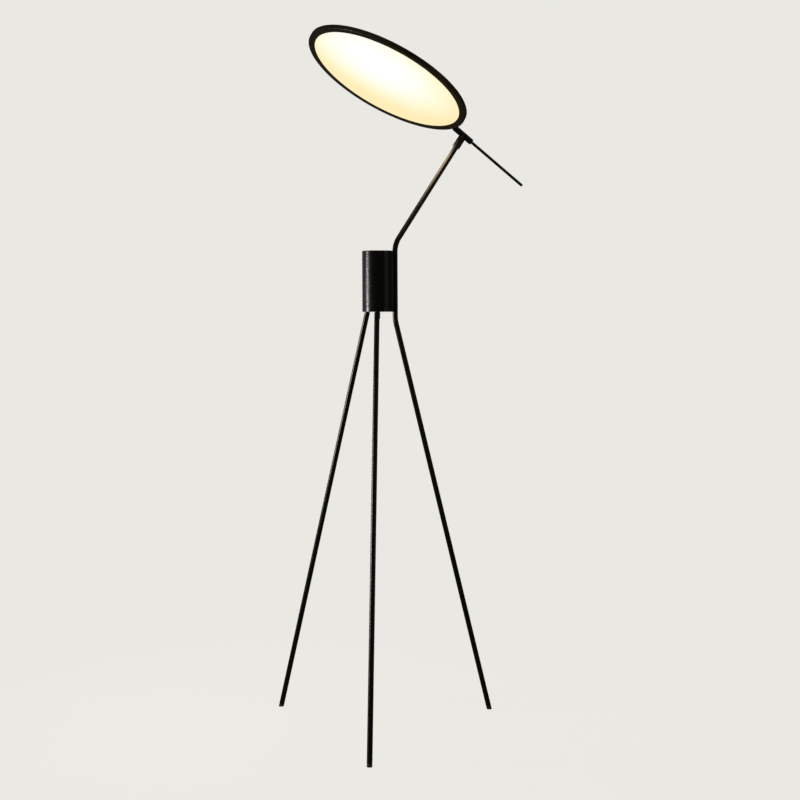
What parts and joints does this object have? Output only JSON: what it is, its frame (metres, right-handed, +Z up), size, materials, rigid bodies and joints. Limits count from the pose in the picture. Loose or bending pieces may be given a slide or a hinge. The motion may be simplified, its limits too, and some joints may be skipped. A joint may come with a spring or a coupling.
{
  "type": "tripod floor lamp",
  "caption": "Floor lamp on slim tube legs with a round canister at hip height and a thin round disc head on a bent arm, which swivels and rolls about its handle rod.",
  "frame": {"origin": "on the floor, under the middle of the lamp's bounding box", "axes": "+Z up; the bent arm lies in the XZ plane and leans towards +X, so the handle rod points to +X and down; the two plain legs stand towards -X, on either side of the XZ plane"},
  "size_m": [0.5646, 0.5412, 1.6691],
  "materials": {
    "black_steel": "satin",
    "black_aluminium": "satin",
    "dark_plastic": "matte",
    "rubber": "matte",
    "steel": "zinc-plated",
    "brass": "turned",
    "aluminium": "mill",
    "bush": "natural acetal",
    "opal": "opal, lit from behind",
    "clear": "clear acrylic",
    "white_plastic": "matte",
    "circuit": "lacquered board",
    "led_tape": "phosphor on white tape",
    "wire": "sheathed"
  },
  "bodies": {
    "stand": {"arm_cable": "wire", "arm_nipple": "brass", "base_cap": "black_steel", "cable_grommet": "rubber", "canister_shell": "black_steel", "chassis_bracket": "steel", "chassis_screw_front": "steel", "chassis_screw_rear": "steel", "driver_board": "circuit", "driver_case": "white_plastic", "driver_cover": "white_plastic", "driver_lead": "wire", "driver_screw": "steel", "earth_screw": "brass", "front_foot": "rubber", "front_leg": "black_steel", "front_leg_bolt": "steel", "front_leg_insert": "brass", "gland_body": "dark_plastic", "gland_locknut": "dark_plastic", "gland_nut": "dark_plastic", "gland_seal": "rubber", "left_foot": "rubber", "left_leg": "black_steel", "left_leg_bolt": "steel", "left_leg_insert": "brass", "mast_anchor": "steel", "mast_foot": "rubber", "mast_screw_lower": "steel", "mast_screw_upper": "steel", "mast_spacer_lower": "black_steel", "mast_spacer_upper": "black_steel", "mast_tube": "black_steel", "terminal_block": "white_plastic", "top_cap": "black_steel"},
    "tee": {"tee_body": "black_steel", "arm_bush": "bush", "swivel_stop_screw": "steel", "spindle_bush_inner": "bush", "spindle_bush_outer": "bush", "roll_stop_screw": "steel"},
    "head": {"spindle": "steel", "wave_washer": "steel", "spindle_nut": "steel", "handle_rod": "black_steel", "head_lead": "wire", "head_pan": "black_aluminium", "front_bezel": "black_aluminium", "diffuser": "opal", "light_guide": "clear", "reflector_sheet": "white_plastic", "led_strip": "led_tape", "heat_ring": "aluminium", "stem_block": "aluminium", "bezel_screw_1": "steel", "bezel_screw_2": "steel", "bezel_screw_3": "steel", "stem_screw_1": "steel", "stem_screw_2": "steel"}
  },
  "joints": [
    {"name": "tee_swivel", "type": "hinge", "parent": "stand", "child": "tee", "pos_m": [0.11239, 0, 1.43614], "axis": [0.5736, 0, 0.8192], "range_deg": [-145, 145]},
    {"name": "head_roll", "type": "hinge", "parent": "tee", "child": "head", "pos_m": [0.11239, 0, 1.43614], "axis": [0.8192, 0, -0.5736], "range_deg": [-135, 135]}
  ]
}
